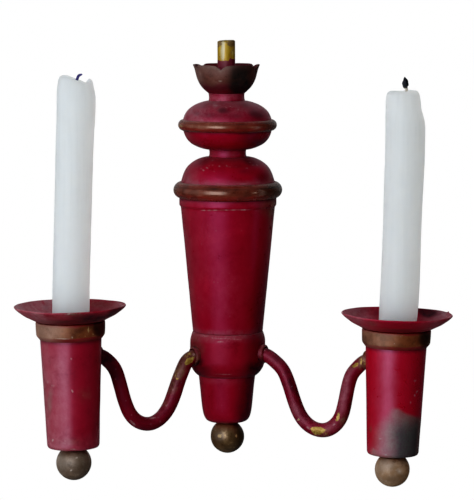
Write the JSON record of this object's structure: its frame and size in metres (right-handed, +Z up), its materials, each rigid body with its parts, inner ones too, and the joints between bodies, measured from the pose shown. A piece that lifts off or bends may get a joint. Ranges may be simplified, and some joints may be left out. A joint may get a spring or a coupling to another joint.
{
  "type": "candle wall sconce",
  "caption": "Wall sconce with a turned tapered column, bent side arms, tapered cups with drip pans, candles and ball finials; hangs by a keyhole plate.",
  "frame": {"origin": "centre of the keyhole in the wall plate, on the wall plane", "axes": "+Z up, +Y into the wall, the front of the sconce faces -Y"},
  "size_m": [0.2469, 0.1126, 0.2513],
  "materials": {
    "red_paint": "worn satin crimson enamel",
    "bronze": "dull gilt bronze, dark with age",
    "brass": "worn bare brass",
    "steel": "dull plain steel",
    "wax": "smooth white candle wax",
    "wick": "charred cotton braid"
  },
  "bodies": {
    "frame": {"arm_hub": "red_paint", "bulb_lower_shell": "red_paint", "bulb_upper_shell": "red_paint", "finial_stud_nuts": "steel", "finial_studs": "steel", "hub_nuts": "steel", "left_arm": "red_paint", "left_band": "bronze", "left_cup": "red_paint", "left_cup_collar": "red_paint", "left_hub_collar": "red_paint", "lower_bead_ring": "bronze", "lower_cone": "red_paint", "lower_neck": "red_paint", "main_cone": "red_paint", "petal_cup": "bronze", "plate_screw_nuts": "steel", "plate_screws": "steel", "plate_spacers": "steel", "right_arm": "red_paint", "right_band": "bronze", "right_cup": "red_paint", "right_cup_collar": "red_paint", "right_hub_collar": "red_paint", "shoulder_dome": "red_paint", "tie_rod": "steel", "top_locknut": "steel", "top_stud": "brass", "top_washer": "steel", "upper_bead_ring": "bronze", "upper_neck": "red_paint", "wall_plate": "steel"},
    "left_pan": {"left_drip_pan": "red_paint", "left_candle_socket": "brass"},
    "right_pan": {"right_drip_pan": "red_paint", "right_candle_socket": "brass"},
    "left_candle": {"left_candle": "wax", "left_wick": "wick"},
    "right_candle": {"right_candle": "wax", "right_wick": "wick"},
    "bottom_finial": {"bottom_finial": "bronze"},
    "left_finial": {"left_finial": "bronze"},
    "right_finial": {"right_finial": "bronze"}
  },
  "joints": [
    {"name": "left_drip_pan_lift", "type": "slide", "parent": "frame", "child": "left_pan", "axis": [-0.0194, -0.0099, 0.9998], "range_m": [0, 0.032]},
    {"name": "right_drip_pan_lift", "type": "slide", "parent": "frame", "child": "right_pan", "axis": [0.0239, -0.0122, 0.9996], "range_m": [0, 0.032]},
    {"name": "left_candle_lift", "type": "slide", "parent": "left_pan", "child": "left_candle", "axis": [0.0279, -0.0019, 0.9996], "range_m": [0, 0.03]},
    {"name": "right_candle_lift", "type": "slide", "parent": "right_pan", "child": "right_candle", "axis": [0.0339, -0.0024, 0.9994], "range_m": [0, 0.03]},
    {"name": "bottom_finial_turn", "type": "hinge", "parent": "frame", "child": "bottom_finial", "pos_m": [0, -0.034, -0.1082], "axis": [0, 0, 1], "continuous": true},
    {"name": "left_finial_turn", "type": "hinge", "parent": "frame", "child": "left_finial", "pos_m": [-0.08973, -0.07972, -0.11459], "axis": [-0.0194, -0.0099, 0.9998], "continuous": true},
    {"name": "right_finial_turn", "type": "hinge", "parent": "frame", "child": "right_finial", "pos_m": [0.09017, -0.07994, -0.12068], "axis": [0.0239, -0.0122, 0.9996], "continuous": true}
  ]
}
